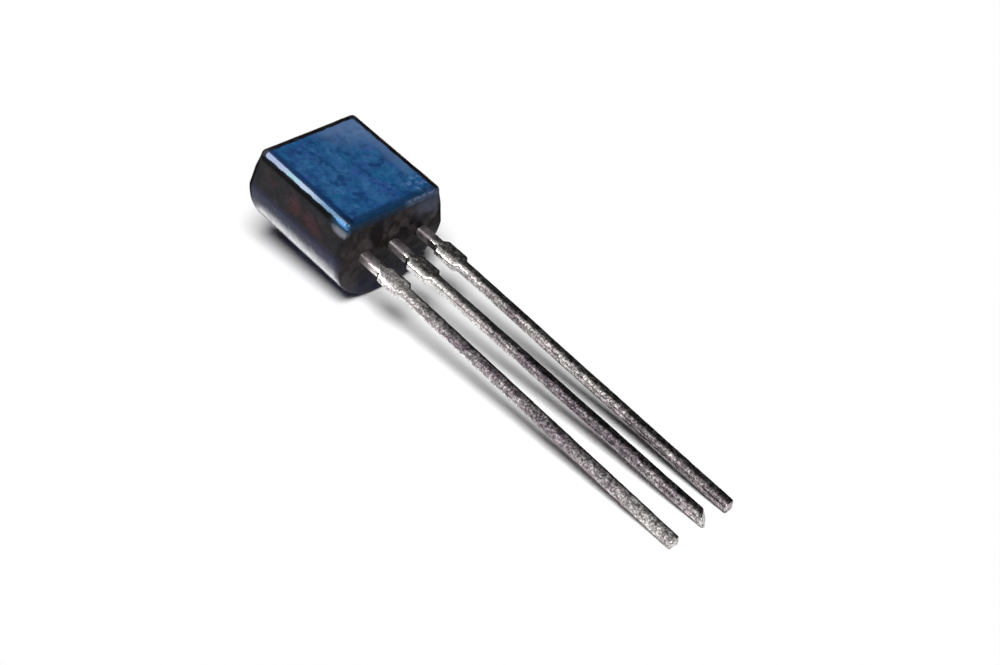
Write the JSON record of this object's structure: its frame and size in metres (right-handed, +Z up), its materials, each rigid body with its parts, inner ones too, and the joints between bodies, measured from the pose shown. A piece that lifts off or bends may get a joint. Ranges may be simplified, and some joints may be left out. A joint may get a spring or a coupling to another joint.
{
  "type": "to-92 transistor",
  "caption": "Small-signal transistor in a D-shaped moulded case with a blue coated flat, on straight tinned leads in one row, lying flat side up.",
  "frame": {"origin": "On the surface that the part lies on, under the middle of the part's box", "axes": "+X from the case towards the lead tips, +Y across the leads from emitter to base, +Z up, on the side that the flat faces"},
  "size_m": [0.0196, 0.0046, 0.0043],
  "materials": {
    "epoxy": "moulded black epoxy, satin, with a brown cast",
    "blue_coat": "blue coat on the flat, glossy and a little mottled",
    "tinned_strip": "hot tinned, bright near the case and duller towards the tips",
    "silicon": "sawn and polished silicon",
    "die_solder": "solidified die solder",
    "gold_wire": "drawn gold wire"
  },
  "bodies": {
    "root": {"case": "epoxy", "face_coat": "blue_coat", "emitter_lead": "tinned_strip", "collector_lead": "tinned_strip", "base_lead": "tinned_strip", "die": "silicon", "die_attach": "die_solder", "emitter_bond_wire": "gold_wire", "base_bond_wire": "gold_wire"}
  },
  "joints": []
}
